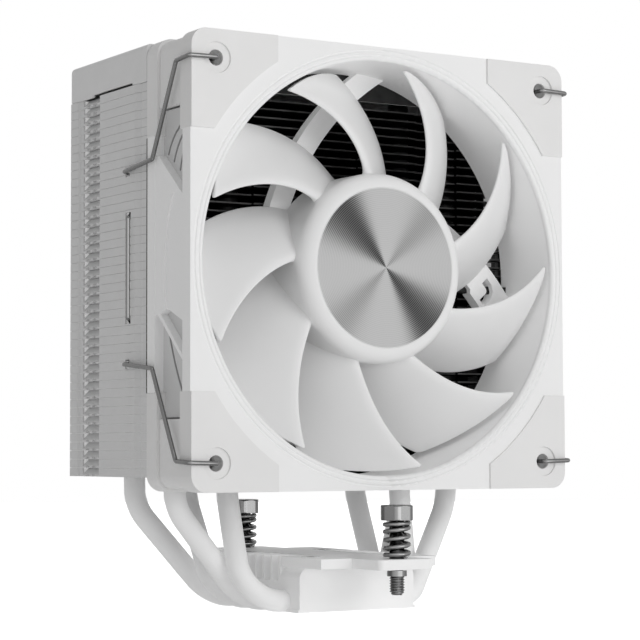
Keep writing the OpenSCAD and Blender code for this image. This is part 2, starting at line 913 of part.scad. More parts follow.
module bearing_sleeve() {
    color("peru") fan_space()
        turned([[bore_r, 7], [sleeve_r, 7], [sleeve_r, 19], [bore_r, 19]]);
}

module bearing_housing() {
    color("gainsboro") fan_space()
        turned([[sleeve_r + 0.02, 6.8], [housing_r, 6.8], [housing_r, 22.4], [0, 22.4],
                [0, 21.4], [3.1, 21.4], [3.1, 19.1], [sleeve_r + 0.02, 19.1]]);
}

module thrust_washer() {
    color("black") fan_space()
        turned([[0, 20.9], [3, 20.9], [3, 21.35], [0, 21.35]]);
}

pole_count = 4;
pole_tip_r = 20.9;

module pole_outline() {
    difference() {
        union() {
            circle(r = 8, $fn = 96);
            for (i = [0 : pole_count - 1])
                rotate(i * 360 / pole_count)
                    translate([0, -2.2])
                        square([19, 4.4]);
            intersection() {
                difference() {
                    circle(r = pole_tip_r, $fn = 128);
                    circle(r = 18.2, $fn = 128);
                }
                for (i = [0 : pole_count - 1])
                    rotate(i * 360 / pole_count)
                        translate([0, -11])
                            square([30, 22]);
            }
        }
        circle(r = housing_r + 0.02, $fn = 96);
    }
}

module stator_core() {
    color("slategray") fan_space()
        slab([8.6, 13.2]) pole_outline();
}

module stator_insulator() {
    color("ivory") fan_space() {
        slab([7.6, 8.55]) intersection() {
            pole_outline();
            circle(r = 17.6, $fn = 96);
        }
        slab([13.25, 14.2]) intersection() {
            pole_outline();
            circle(r = 17.6, $fn = 96);
        }
    }
}

module stator_coils() {
    color("peru") fan_space()
        for (i = [0 : pole_count - 1])
            rotate([0, 0, i * 360 / pole_count])
                translate([9, 0, -10.9])
                    rotate([0, 90, 0])
                        linear_extrude(7.6)
                            difference() {
                                square([9.4, 8], center = true);
                                square([6.8, 4.6], center = true);
                            }
}

module circuit_board() {
    color("darkgreen") fan_space()
        difference() {
            ring_slab(housing_r + 0.1, 20, board_depth);
            slab([board_depth[0] - 1, board_depth[1] + 1])
                for (turn = [60, 180, 300])
                    rotate(turn) translate([17, 0]) circle(r = 1, $fn = 32);
        }
}

module hall_sensor() {
    color("black") fan_space()
        translate([12, 9.8, -board_depth[0] + 0.01])
            rotate([0, 0, 40])
                cube([4, 3, 1.5]);
}

module motor_label() {
    color("white") fan_space()
        difference() {
            slab([24.42, 24.6]) circle(r = 21, $fn = 128);
            slab([20, 26])
                translate([14.8, cable_z - 1.4]) square([10, 2.8]);
        }
}

// ---------------------------------------------------------------- cable

plug_top = -38;
plug_size = [6, 10, 12];
cable_out_x = half_fan + 0.5 + plug_size[0] / 2;

// A point in fan space: across, depth, up
function at(x, depth, up) = [x, fan_front + depth, fan_z + up];

// The cable leaves the board, runs in the strut's channel, passes outside the right wire
// clip and hangs beside the fan, where its plug is
module fan_cable() {
    points = [
        at(cable_start_x, board_depth[1] + 0.05, cable_z),
        at(cable_start_x, cable_depth, cable_z),
        at(cable_out_x, cable_depth, cable_z),
        at(cable_out_x, cable_depth, plug_top + 0.1)
    ];
    color("dimgray") bent_rod(points, [0, 1.4, 3, 0], cable_r, sides = 10, steps = 4);
}

module cable_plug() {
    pin_pitch = 2.1;
    corner = at(cable_out_x, cable_depth, plug_top) - [plug_size[0] / 2, plug_size[1] / 2, plug_size[2]];
    color("dimgray")
        translate(corner)
            difference() {
                cube(plug_size);
                for (i = [0 : 3])
                    translate([2.4, 1.25 + i * pin_pitch, -1]) cube([1.2, 1.2, 9]);
                for (y = [2, 6.6])
                    translate([plug_size[0] - 0.6, y, -1]) cube([1, 1.4, 10]);
            }
}

// ---------------------------------------------------------------- wire clips

module wire_clip() {
    hole = hole_pitch / 2;
    side = -half_fan - wire_r - 0.4;
    hold = -side_x + 1.3;
    front = -wire_r - 0.15;
    outer = clip_hold_depth;
    half = [
        at(-hole, 3.2, hole),
        at(-hole, front, hole),
        at(side, front, hole - 0.2),
        at(side, 6.6, hole - 0.6),
        at(side, 19.9, clip_bend_up + 1.6),
        at(side, outer, clip_bend_up),
        at(hold, outer, clip_bend_up),
        at(hold, outer, clip_slot_up + 1),
        at(-side_x - 0.3, outer - 1.3, clip_slot_up)
    ];
    radii = [0, 0.9, 1, 1.2, 1.2, 0.8, 0.8, 0.5, 0.5];
    low = [for (i = [len(half) - 1 : -1 : 0]) [half[i][0], half[i][1], 2 * fan_z - half[i][2]]];
    low_radii = [for (i = [len(radii) - 1 : -1 : 0]) radii[i]];
    color("silver") {
        bent_rod(concat(half, low), concat(radii, low_radii), wire_r, sides = 10, steps = 3);
        // The upright stretches that turn in the fins' channel
        for (up = [clip_slot_up + 2.2, -clip_bend_up + 1.8])
            translate(at(hold, outer, up))
                cylinder(r = wire_r + 0.02, h = clip_bend_up - clip_slot_up - 4, $fn = 32);
    }
}

module left_wire_clip() { wire_clip(); }
module right_wire_clip() { mirror([1, 0, 0]) wire_clip(); }

// ---------------------------------------------------------------- what is drawn

base_block();
heat_pipe_1();
heat_pipe_2();
heat_pipe_3();
heat_pipe_4();
fin_stack();
top_cover();
mounting_bar();
bar_fixing_screws();
front_mount_screw();
front_screw_spring();
front_retaining_ring();
rear_mount_screw();
rear_screw_spring();
rear_retaining_ring();
fan_frame();
front_corner_pads();
rear_corner_pads();
impeller();
hub_cap_disc();
rotor_yoke();
rotor_magnet();
fan_shaft();
shaft_lock_ring();
bearing_sleeve();
bearing_housing();
thrust_washer();
stator_core();
stator_insulator();
stator_coils();
circuit_board();
hall_sensor();
motor_label();
fan_cable();
cable_plug();
left_wire_clip();
right_wire_clip();
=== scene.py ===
# Looks of the tower cooler: smooth meshes for the turning, bent and coiled pieces, small
# edge roundings on the machined and moulded ones, procedural materials, and a studio.
import json
import math

import bmesh
import bpy
import numpy as np
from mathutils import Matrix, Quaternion, Vector


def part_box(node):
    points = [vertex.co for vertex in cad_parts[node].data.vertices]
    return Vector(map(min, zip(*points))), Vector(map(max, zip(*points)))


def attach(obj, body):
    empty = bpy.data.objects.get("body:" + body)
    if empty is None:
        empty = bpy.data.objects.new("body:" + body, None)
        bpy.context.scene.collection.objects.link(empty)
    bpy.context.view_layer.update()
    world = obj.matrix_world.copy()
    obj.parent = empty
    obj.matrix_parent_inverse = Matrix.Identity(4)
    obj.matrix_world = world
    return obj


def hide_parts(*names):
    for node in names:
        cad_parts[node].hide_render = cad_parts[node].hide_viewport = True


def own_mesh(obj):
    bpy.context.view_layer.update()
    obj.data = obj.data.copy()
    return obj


MM = 0.001

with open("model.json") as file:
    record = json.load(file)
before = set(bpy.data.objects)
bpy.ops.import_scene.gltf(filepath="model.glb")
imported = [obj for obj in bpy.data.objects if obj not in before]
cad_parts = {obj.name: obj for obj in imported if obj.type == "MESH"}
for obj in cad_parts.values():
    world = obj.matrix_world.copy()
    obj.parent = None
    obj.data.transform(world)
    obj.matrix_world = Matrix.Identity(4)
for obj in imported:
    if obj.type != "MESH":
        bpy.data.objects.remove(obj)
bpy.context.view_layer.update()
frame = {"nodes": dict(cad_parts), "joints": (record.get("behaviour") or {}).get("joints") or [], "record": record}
nodes = frame["nodes"]
joints = {j["name"]: j for j in frame["joints"]}

# ---------------------------------------------------------------- places from the frame


def low(node):
    return np.array(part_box(node)[0])


def high(node):
    return np.array(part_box(node)[1])


FAN_Z = joints["fan_spin"]["pos_m"][2]
FAN_FRONT = low("front_corner_pads")[1]
STACK_LOW, STACK_HIGH = low("fin_stack"), high("fin_stack")
COVER_LOW, COVER_HIGH = low("top_cover"), high("top_cover")
STACK_MIDDLE_Y = 0.5 * (low("heat_pipe_1")[1] + high("heat_pipe_4")[1])

# The camera, with its angles in degrees and its lens in millimetres
CAMERA_AT = Vector((-0.3268, -0.5311, 0.0444))
CAMERA_AZIMUTH = -31.72
CAMERA_ELEVATION = -3.33
CAMERA_ROLL = -0.16
CAMERA_LENS = 123.72


# ---------------------------------------------------------------- mesh helpers


def make_object(name, points, faces, smooth=True):
    mesh = bpy.data.meshes.new(name)
    mesh.from_pydata([tuple(p) for p in points], [], faces)
    mesh.validate()
    mesh.update()
    mesh.polygons.foreach_set("use_smooth", [smooth] * len(mesh.polygons))
    obj = bpy.data.objects.new(name, mesh)
    bpy.context.scene.collection.objects.link(obj)
    return obj


def face_outwards(obj):
    """Turn the faces over if the closed mesh encloses a negative volume."""
    bm = bmesh.new()
    bm.from_mesh(obj.data)
    bmesh.ops.recalc_face_normals(bm, faces=bm.faces)
    if bm.calc_volume(signed=True) < 0:
        bmesh.ops.reverse_faces(bm, faces=bm.faces)
    bm.to_mesh(obj.data)
    bm.free()
    return obj


def loft(name, rings, closed=False, cap=True):
    """A skin through rings with the same number of points; caps are fans about a middle point."""
    m = len(rings[0])
    n = len(rings)
    points = [p for ring in rings for p in ring]
    faces = []
    for i in range(n if closed else n - 1):
        j = (i + 1) % n
        for k in range(m):
            q = (k + 1) % m
            faces.append((i * m + k, i * m + q, j * m + q, j * m + k))
    if cap and not closed:
        for ring_index in (0, n - 1):
            middle = len(points)
            ring = np.array(rings[ring_index])
            points.append(tuple(ring.mean(axis=0)))
            for k in range(m):
                faces.append((middle, ring_index * m + k, ring_index * m + (k + 1) % m))
    return face_outwards(make_object(name, points, faces))


def lathe(name, profile, centre, steps):
    """Turn a closed profile of (radius, depth) about the axis in depth through centre."""
    rings = []
    for k in range(steps):
        a = 2 * math.pi * k / steps
        rings.append([tuple(np.array(centre) + (r * math.cos(a), along, r * math.sin(a)))
                      for r, along in profile])
    return loft(name, rings, closed=True)


def unit(v):
    return v / np.linalg.norm(v)


def rounded_path(points, radii, arc_step=6.0, run_step=4 * MM):
    """A path through points with round corners, sampled evenly enough for a smooth tube."""
    points = [np.array(p, float) for p in points]
    path = [points[0]]
    for i in range(1, len(points) - 1):
        before = unit(points[i] - points[i - 1])
        after = unit(points[i + 1] - points[i])
        turn = math.acos(max(-1.0, min(1.0, float(before @ after))))
        reach = radii[i] * math.tan(turn / 2)
        start = points[i] - before * reach
        inward = unit(after - before * (before @ after))
        path += straight(path[-1], start, run_step)
        steps = max(3, int(math.degrees(turn) / arc_step))
        for k in range(1, steps + 1):
            a = turn * k / steps
            path.append(start + radii[i] * (before * math.sin(a) + inward * (1 - math.cos(a))))
    path += straight(path[-1], points[-1], run_step)
    path.append(points[-1])
    return path


def straight(start, end, step):
    """Points strictly between start and end, and start's own end point when it is needed."""
    count = int(np.linalg.norm(end - start) / step)
    return [start + (end - start) * k / (count + 1) for k in range(1, count + 1)]


def tube(name, path, radius, sides=24, end_round=0.0, floor_z=None):
    """A round tube along a path, carried without twist, with softly rounded ends."""
    path = np.array(path)
    directions = np.gradient(path, axis=0)
    directions /= np.linalg.norm(directions, axis=1)[:, None]
    across = unit(np.cross(directions[0], (0.31, 0.2, 0.93)))
    rings = []

    def ring(centre, direction, r):
        up = np.cross(direction, across)
        points = []
        for k in range(sides):
            a = 2 * math.pi * k / sides
            p = centre + r * (math.cos(a) * across + math.sin(a) * up)
            if floor_z is not None:
                p[2] = max(p[2], floor_z)
            points.append(tuple(p))
        return points

    cap_angles = np.radians([15, 45, 75])
    for i, (p, d) in enumerate(zip(path, directions)):
        across = unit(across - d * (across @ d))
        if i == 0 and end_round:
            for a in cap_angles:
                rings.append(ring(p + d * end_round * (1 - math.sin(a)), d,
                                  radius - end_round * (1 - math.cos(math.pi / 2 - a))))
        elif i == len(path) - 1 and end_round:
            for a in cap_angles[::-1]:
                rings.append(ring(p - d * end_round * (1 - math.sin(a)), d,
                                  radius - end_round * (1 - math.cos(math.pi / 2 - a))))
        else:
            rings.append(ring(p, d, radius))
    return loft(name, rings)


# ---------------------------------------------------------------- node helpers


class Shader:
    """A material's node tree, built with short calls."""

    def __init__(self, name):
        self.material = bpy.data.materials.new(name)
        self.material.use_nodes = True
        self.tree = self.material.node_tree
        self.tree.nodes.clear()
        self.bsdf = self.add("ShaderNodeBsdfPrincipled")
        self.out = self.add("ShaderNodeOutputMaterial")
        self.link(self.bsdf, "BSDF", self.out, "Surface")
        coords = self.add("ShaderNodeTexCoord")
        self.position = coords.outputs["Object"]

    def add(self, kind, **inputs):
        node = self.tree.nodes.new(kind)
        for key, value in inputs.items():
            self.feed(node, key.replace("_", " "), value)
        return node

    def feed(self, node, key, value):
        socket = node.inputs[key]
        if isinstance(value, bpy.types.NodeSocket):
            self.tree.links.new(value, socket)
        else:
            socket.default_value = value

    def link(self, a, out_name, b, in_name):
        self.tree.links.new(a.outputs[out_name], b.inputs[in_name])

    def set(self, **inputs):
        for key, value in inputs.items():
            self.feed(self.bsdf, key.replace("_", " "), value)

    def math(self, operation, a, b=None, c=None):
        node = self.tree.nodes.new("ShaderNodeMath")
        node.operation = operation
        for index, value in enumerate((a, b, c)):
            if value is None:
                continue
            if isinstance(value, bpy.types.NodeSocket):
                self.tree.links.new(value, node.inputs[index])
            else:
                node.inputs[index].default_value = value
        return node.outputs[0]

    def noise(self, scale, detail=2.0, vector=None):
        node = self.add("ShaderNodeTexNoise", Scale=scale, Detail=detail)
        self.feed(node, "Vector", vector or self.position)
        return node.outputs["Fac"]

    def xyz(self, vector=None):
        node = self.add("ShaderNodeSeparateXYZ")
        self.feed(node, "Vector", vector or self.position)
        return node.outputs["X"], node.outputs["Y"], node.outputs["Z"]

    def ramp(self, value, stops):
        """A smooth map of value through (position, grey or colour) stops."""
        node = self.tree.nodes.new("ShaderNodeValToRGB")
        self.tree.links.new(value, node.inputs["Fac"])
        elements = node.color_ramp.elements
        while len(elements) < len(stops):
            elements.new(0.5)
        for element, (where, colour) in zip(elements, stops):
            element.position = where
            element.color = colour if isinstance(colour, tuple) else (colour, colour, colour, 1)
        return node.outputs["Color"]

    def mix(self, factor, a, b):
        node = self.tree.nodes.new("ShaderNodeMix")
        node.data_type = "RGBA"
        for socket, value in ((node.inputs[0], factor), (node.inputs[6], a), (node.inputs[7], b)):
            if isinstance(value, bpy.types.NodeSocket):
                self.tree.links.new(value, socket)
            else:
                socket.default_value = value
        return node.outputs[2]

    def bump(self, height, distance, strength=1.0):
        node = self.add("ShaderNodeBump", Strength=strength, Distance=distance, Height=height)
        return node.outputs["Normal"]


def grey(value, warmth=0.0):
    return (value * (1 + warmth), value, value * (1 - warmth), 1)


# ---------------------------------------------------------------- materials


def lift_shadows(s, amount):
    """A faint glow, standing in for the light that bounces about between white surfaces."""
    s.set(**{"Emission Color": (1, 1, 1, 1), "Emission Strength": amount})


def within(s, value, start, end):
    """1 where value lies between start and end, else 0."""
    return s.math("MULTIPLY", s.math("GREATER_THAN", value, start), s.math("LESS_THAN", value, end))


# Distances from the fan axis that tell the frame's surfaces apart: out to the side for the plates
# in its hollow sides and their grooves, where shade is painted, and round the axis for the duct
PLATE_OUT = 57.5 * MM
GROOVE_OUT = 57.3 * MM
DUCT_OUTSIDE_R = 58.05 * MM
DUCT_INSIDE_R = 56.5 * MM

# Depths from the fan's front face to the duct's mouth and to the space between the flanges
MOUTH_DEPTH = 2 * MM
BETWEEN_FLANGES = (5 * MM, 20.3 * MM)

# The black coat inside the stack, and the colour of the dark sheet of painted shade across its middle
INNER_BLACK = 0.012


def about_fan(s):
    """A place's x and height from the fan axis, and its distance from the axis."""
    x, _, z = s.xyz()
    up = s.math("SUBTRACT", z, FAN_Z)
    square = s.math("ADD", s.math("MULTIPLY", x, x), s.math("MULTIPLY", up, up))
    return x, up, s.math("SQRT", square)


def side_recess_shade(s):
    """The share of painted shade on the fan frame's sides, by how deep the place lies in their
    grooved hollows: 0 outside them, 0.5 on their plates, 1 in the grooves."""
    x, up, radius = about_fan(s)
    depth = s.xyz()[1]
    out = s.math("MAXIMUM", s.math("ABSOLUTE", x), s.math("ABSOLUTE", up))
    plates = s.math("MULTIPLY", s.math("LESS_THAN", out, PLATE_OUT), 0.5)
    share = s.math("MULTIPLY_ADD", s.math("LESS_THAN", out, GROOVE_OUT), 0.5, plates)
    beyond_duct = s.math("GREATER_THAN", radius, DUCT_OUTSIDE_R)
    between_flanges = within(s, depth, *[float(FAN_FRONT + d) for d in BETWEEN_FLANGES])
    return s.math("MULTIPLY", share, s.math("MULTIPLY", beyond_duct, between_flanges))


def duct_glow(s):
    """The frame's faint glow: stronger inside the duct, where light bounces to and fro."""
    everywhere, added_inside = 0.035, 0.07
    behind_mouth = s.math("GREATER_THAN", s.xyz()[1], float(FAN_FRONT + MOUTH_DEPTH))
    inside = s.math("MULTIPLY", s.math("LESS_THAN", about_fan(s)[2], DUCT_INSIDE_R), behind_mouth)
    return s.math("MULTIPLY_ADD", inside, added_inside, everywhere)


def moulded_plastic(name, tone, roughness, grain_mm, grain_depth_mm, glow=None, recess=None):
    """Matte plastic: a fine eroded texture with slight tonal drift. glow(s) gives its faint
    light and recess(s) the share of painted shade, a darker tone, in its recesses."""
    s = Shader(name)
    drift = s.noise(28, 3)
    fine = s.noise(1 / (grain_mm * MM), 3)
    shade = s.ramp(drift, [(0.3, grey(tone * 0.975)), (0.7, grey(tone))])
    if recess:
        # Painted shade: the recesses are darkened towards this share of the tone.
        recess_shade_share = 0.42
        shade = s.mix(recess(s), shade, grey(tone * recess_shade_share))
    s.set(Base_Color=shade,
          Roughness=s.math("MULTIPLY_ADD", fine, 0.16, roughness - 0.08),
          Normal=s.bump(fine, grain_depth_mm * MM, 0.5))
    if glow:
        lift_shadows(s, glow(s))
    return s.material


def inside_fins(s):
    """1 on what stands between the fins, above the lowest of them."""
    fin_thickness = 0.4 * MM
    return s.math("GREATER_THAN", s.xyz()[2], float(STACK_LOW[2] + fin_thickness))


def facing_inwards(s):
    """1 on side faces that look towards the middle of the stack."""
    clearly_inwards = -0.01
    normal_x = s.xyz(s.add("ShaderNodeNewGeometry").outputs["Normal"])[0]
    return s.math("LESS_THAN", s.math("MULTIPLY", normal_x, s.xyz()[0]), clearly_inwards)


def powder_coat(name, tone, roughness, glow, dark_where=None):
    """White coated metal: orange-peel ripple under a faint sheen. dark_where(s) gives the
    share of the black coat that the inside of the stack has."""
    s = Shader(name)
    ripple = s.noise(900, 2)
    drift = s.noise(35, 2)
    shade = s.ramp(drift, [(0.3, grey(tone * 0.98)), (0.7, grey(tone))])
    if dark_where:
        dark = dark_where(s)
        shade = s.mix(dark, shade, grey(INNER_BLACK))
        glow = s.math("MULTIPLY_ADD", dark, -glow, glow)
    s.set(Base_Color=shade,
          Roughness=s.math("MULTIPLY_ADD", ripple, 0.12, roughness - 0.06),
          Normal=s.bump(ripple, 0.03 * MM, 0.5))
    s.set(**{"Coat Weight": 0.12, "Coat Roughness": 0.3})
    lift_shadows(s, glow)
    return s.material


def soft_rubber(name, tone):
    """White rubber with a fine dusty grain."""
    s = Shader(name)
    fine = s.noise(2200, 4)
    drift = s.noise(60, 3)
    s.set(Base_Color=s.ramp(drift, [(0.3, grey(tone * 0.97, 0.004)), (0.7, grey(tone, 0.004))]),
          Roughness=s.math("MULTIPLY_ADD", fine, 0.12, 0.62),
          Normal=s.bump(fine, 0.02 * MM, 0.6))
    return s.material


def two_tone_metal(name, outer_tone, edge_tone, inner_tone, is_outer):
    """Coated metal, light on its outer faces and dark inside; is_outer(s) gives the share.
    Inside, faces that look to the front or back are a little lighter than the rest."""
    s = Shader(name)
    normal = s.add("ShaderNodeNewGeometry").outputs["Normal"]
    along_depth = s.math("ABSOLUTE", s.xyz(normal)[1])
    ripple = s.noise(900, 2)
    streak = s.noise(160, 3)
    tone = s.ramp(along_depth, [(0.4, grey(inner_tone)), (0.9, grey(edge_tone))])
    dark = s.mix(s.ramp(streak, [(0.35, 0.0), (0.7, 0.6)]), tone, grey(inner_tone * 0.5))
    light = s.ramp(streak, [(0.3, grey(outer_tone * 0.97)), (0.7, grey(outer_tone))])
    outer = is_outer(s)
    s.set(Base_Color=s.mix(outer, dark, light), Roughness=s.math("MULTIPLY_ADD", ripple, 0.1, 0.42),
          Normal=s.bump(ripple, 0.02 * MM, 0.4))
    s.set(**{"Specular IOR Level": s.math("MULTIPLY_ADD", outer, 0.35, 0.1)})
    return s.material


def side_faces(s):
    """1 on the folded side edges of the fins; 0 between them, and on a painted shadow band along the front rim
    between the pads.
    """
    fold, rim, pad_start = 2.6 * MM, 1.2 * MM, 34 * MM
    x, y, z = s.xyz()
    outside = s.math("GREATER_THAN", s.math("ABSOLUTE", x), float(STACK_HIGH[0] - fold))
    # Painted shadow: near the front, beside the fan, the side edges take the dark inner coat.
    behind_rim_shadow = s.math("GREATER_THAN", y, float(STACK_LOW[1] + rim))
    from_axis = s.math("ABSOLUTE", s.math("SUBTRACT", z, FAN_Z))
    beside_pads = s.math("GREATER_THAN", from_axis, pad_start)
    return s.math("MULTIPLY", outside, s.math("MAXIMUM", behind_rim_shadow, beside_pads))


def all_but_front(s):
    """0 on the cover's front face between its sides, 1 elsewhere."""
    face, side = 0.2 * MM, 4 * MM
    x, y, _ = s.xyz()
    behind = s.math("GREATER_THAN", y, float(COVER_LOW[1] + face))
    at_side = s.math("GREATER_THAN", s.math("ABSOLUTE", x), float(COVER_HIGH[0] - side))
    return s.math("MAXIMUM", behind, at_side)


def chrome(name, tone, roughness, plain):
    """Bright plated steel with faint polishing marks, and a painted reflection of a
    photographer's black and white cards: what its colour mirrors depends on the side that its
    surface faces, apart from a plain share."""
    s = Shader(name)
    marks = s.noise(1500, 3)
    cloud = s.noise(300, 2)
    # Painted reflection: the colour follows the mirrored direction's turn round the object and how steeply it
    # points up or down.
    x, y, z = s.xyz(s.add("ShaderNodeTexCoord").outputs["Reflection"])
    a = math.radians(CAMERA_AZIMUTH)
    across = s.math("ADD", s.math("MULTIPLY", x, math.cos(a)), s.math("MULTIPLY", y, math.sin(a)))
    towards = s.math("SUBTRACT", s.math("MULTIPLY", x, math.sin(a)),
                     s.math("MULTIPLY", y, math.cos(a)))
    turn = s.math("MULTIPLY_ADD", s.math("ARCTAN2", across, towards), 0.5 / math.pi, 0.5)
    painted_side_reflection = s.ramp(turn, [(0.0, grey(0.1)), (0.1, grey(0.02)), (0.3, grey(0.03)),
                             (0.38, grey(0.3)), (0.5, grey(0.5)), (0.56, grey(0.8)),
                             (0.66, grey(0.85)), (0.7, grey(0.3)), (0.82, grey(0.12)),
                             (0.92, grey(0.03)), (1.0, grey(0.1))])
    painted_height_reflection = s.ramp(s.math("ABSOLUTE", z), [(0.3, grey(1.0)), (0.55, grey(0.12)),
                                            (0.85, grey(0.15)), (0.95, grey(0.6))])
    painted_reflection = s.add("ShaderNodeMix")
    painted_reflection.data_type = "RGBA"
    painted_reflection.blend_type = "MULTIPLY"
    painted_reflection.inputs[0].default_value = 1.0
    s.tree.links.new(painted_side_reflection, painted_reflection.inputs[6])
    s.tree.links.new(painted_height_reflection, painted_reflection.inputs[7])
    shade = s.ramp(cloud, [(0.3, grey(tone * 0.92)), (0.7, grey(tone))])
    s.set(Base_Color=s.mix(plain, painted_reflection.outputs[2], shade), Metallic=1.0,
          Roughness=s.math("MULTIPLY_ADD", marks, 0.1, roughness),
          Normal=s.bump(marks, 0.004 * MM, 0.4))
    return s.material


def spun_aluminium(name):
    """A turned disc: concentric grooves, and the dark and light fans of reflection that light on them gives,
    painted into its colour.
    """
    s = Shader(name)
    groove_pitch = 0.5 * MM
    x, up, radius = about_fan(s)
    wave = s.math("SINE", s.math("MULTIPLY", radius, 2 * math.pi / groove_pitch))
    angle = s.math("ARCTAN2", up, x)

    def fan(degrees, sharpness):
        turned = s.math("COSINE", s.math("SUBTRACT", angle, math.radians(degrees)))
        return s.math("POWER", s.math("ABSOLUTE", turned), sharpness)

    # Painted reflection: dark fans at set angles round the axis, and a fainter one.
    dark = s.math("MULTIPLY", s.math("ADD", fan(126, 40.0), fan(142, 22.0)), 0.55)
    painted_fans = s.math("MULTIPLY_ADD", fan(46, 24.0), 0.24, dark)
    depth = s.math("MULTIPLY_ADD", s.math("MULTIPLY", painted_fans, wave), 0.3, painted_fans)
    painted_fans_and_grooves = s.math("MULTIPLY_ADD", wave, 0.05, depth)
    s.set(Base_Color=s.ramp(painted_fans_and_grooves, [(0.0, grey(0.72)), (0.3, grey(0.42)), (0.6, grey(0.17)),
                                  (1.0, grey(0.07))]),
          Metallic=1.0, Roughness=0.42, Normal=s.bump(wave, 0.01 * MM, 0.3))
    return s.material


def plain_detail(name, colour, roughness, metallic=0.0, grain=1200, depth_mm=0.01):
    """For the pieces inside: a coloured body with a fine grain and tonal drift."""
    s = Shader(name)
    fine = s.noise(grain, 3)
    drift = s.noise(90, 3)
    dark = tuple(c * 0.85 for c in colour) + (1,)
    s.set(Base_Color=s.ramp(drift, [(0.3, dark), (0.7, colour + (1,))]), Metallic=metallic,
          Roughness=s.math("MULTIPLY_ADD", fine, 0.2, roughness - 0.1),
          Normal=s.bump(fine, depth_mm * MM, 0.5))
    return s.material


def layered(name, colour, axis_index, pitch, roughness, metallic):
    """Stacked sheets or wound wire: fine lines across one axis."""
    s = Shader(name)
    along = s.xyz()[axis_index]
    wave = s.math("SINE", s.math("MULTIPLY", along, 2 * math.pi / pitch))
    dark = tuple(c * 0.55 for c in colour) + (1,)
    share = s.math("MULTIPLY_ADD", wave, 0.5, 0.5)
    s.set(Base_Color=s.ramp(share, [(0.1, dark), (0.6, colour + (1,))]), Metallic=metallic,
          Roughness=roughness, Normal=s.bump(wave, 0.05 * MM, 0.6))
    return s.material


def braided_sleeve(name, tone):
    """Woven cable sleeve: two crossing sets of fine strands."""
    s = Shader(name)
    x, y, z = s.xyz()
    lean = s.math("ADD", z, s.math("MULTIPLY", s.math("ADD", x, y), 0.9))
    other = s.math("SUBTRACT", z, s.math("MULTIPLY", s.math("ADD", x, y), 0.9))
    strand = 2 * math.pi / (0.8 * MM)
    weave = s.math("MULTIPLY", s.math("SINE", s.math("MULTIPLY", lean, strand)),
                   s.math("SINE", s.math("MULTIPLY", other, strand)))
    share = s.math("MULTIPLY_ADD", weave, 0.5, 0.5)
    s.set(Base_Color=s.ramp(share, [(0.0, grey(tone * 0.7)), (0.6, grey(tone))]), Roughness=0.7,
          Normal=s.bump(share, 0.12 * MM, 0.7))
    return s.material


WHITE = 0.91
MATERIALS = {
    "frame_plastic": moulded_plastic("frame_plastic", WHITE, 0.5, 0.35, 0.02, duct_glow,
                                     side_recess_shade),
    "blade_plastic": moulded_plastic("blade_plastic", 0.9, 0.4, 0.6, 0.008),
    "rubber": soft_rubber("pad_rubber", 0.87),
    "coat": powder_coat("white_coat", WHITE, 0.42, 0.09),
    "pipe_coat": powder_coat("white_pipe_coat", 0.9, 0.36, 0.1, inside_fins),
    "lining": powder_coat("lining_coat", 0.93, 0.42, 0.2, facing_inwards),
    # Painted shade: the dark sheet across the middle of the fin stack.
    "core": plain_detail("dark_coat", (INNER_BLACK,) * 3, 0.6),
    "fins": two_tone_metal("fin_coat", 0.74, 0.11, INNER_BLACK, side_faces),
    "cover": two_tone_metal("cover_coat", 0.8, 0.055, 0.03, all_but_front),
    "chrome": chrome("bright_steel", 0.9, 0.1, 0.12),
    "spring": chrome("spring_steel", 0.85, 0.12, 0.25),
    "wire": chrome("clip_steel", 0.8, 0.2, 0.25),
    "disc": spun_aluminium("spun_aluminium"),
    "zinc": plain_detail("zinc_plate", (0.48, 0.49, 0.51), 0.35, 1.0),
    "ferrite": plain_detail("ferrite", (0.05, 0.05, 0.055), 0.6),
    "bronze": plain_detail("sintered_bronze", (0.42, 0.27, 0.12), 0.5, 1.0, 3000, 0.03),
    "brass": plain_detail("turned_brass", (0.6, 0.45, 0.2), 0.25, 1.0),
    "nylon": plain_detail("natural_nylon", (0.75, 0.7, 0.58), 0.45),
    "dark_nylon": plain_detail("dark_nylon", (0.03, 0.03, 0.03), 0.5),
    "sheets": layered("stator_sheets", (0.3, 0.31, 0.33), 1, 0.5 * MM, 0.4, 1.0),
    "copper": layered("wound_copper", (0.55, 0.2, 0.08), 1, 0.3 * MM, 0.3, 1.0),
    "board": plain_detail("board_laminate", (0.02, 0.12, 0.06), 0.3, 0.0, 600),
    "label": plain_detail("label_film", (0.72, 0.73, 0.74), 0.35),
    "sleeve": braided_sleeve("cable_braid", 0.03),
    "dark_plastic": moulded_plastic("plug_plastic", 0.03, 0.5, 0.35, 0.02),
}

NODE_MATERIALS = {
    "coat": ["base_block", "mounting_bar"],
    "fins": ["fin_stack"],
    "cover": ["top_cover"],
    "chrome": ["bar_fixing_screws", "front_retaining_ring", "rear_retaining_ring", "fan_shaft",
               "shaft_lock_ring"],
    "frame_plastic": ["fan_frame"],
    "dark_plastic": ["cable_plug"],
    "rubber": ["front_corner_pads", "rear_corner_pads"],
    "disc": ["hub_cap_disc"],
    "zinc": ["rotor_yoke"],
    "ferrite": ["rotor_magnet"],
    "bronze": ["bearing_sleeve"],
    "brass": ["bearing_housing"],
    "dark_nylon": ["thrust_washer", "hall_sensor"],
    "sheets": ["stator_core"],
    "nylon": ["stator_insulator"],
    "copper": ["stator_coils"],
    "board": ["circuit_board"],
    "label": ["motor_label"],
}


def paint(obj, key):
    obj.data.materials.clear()
    obj.data.materials.append(MATERIALS[key])


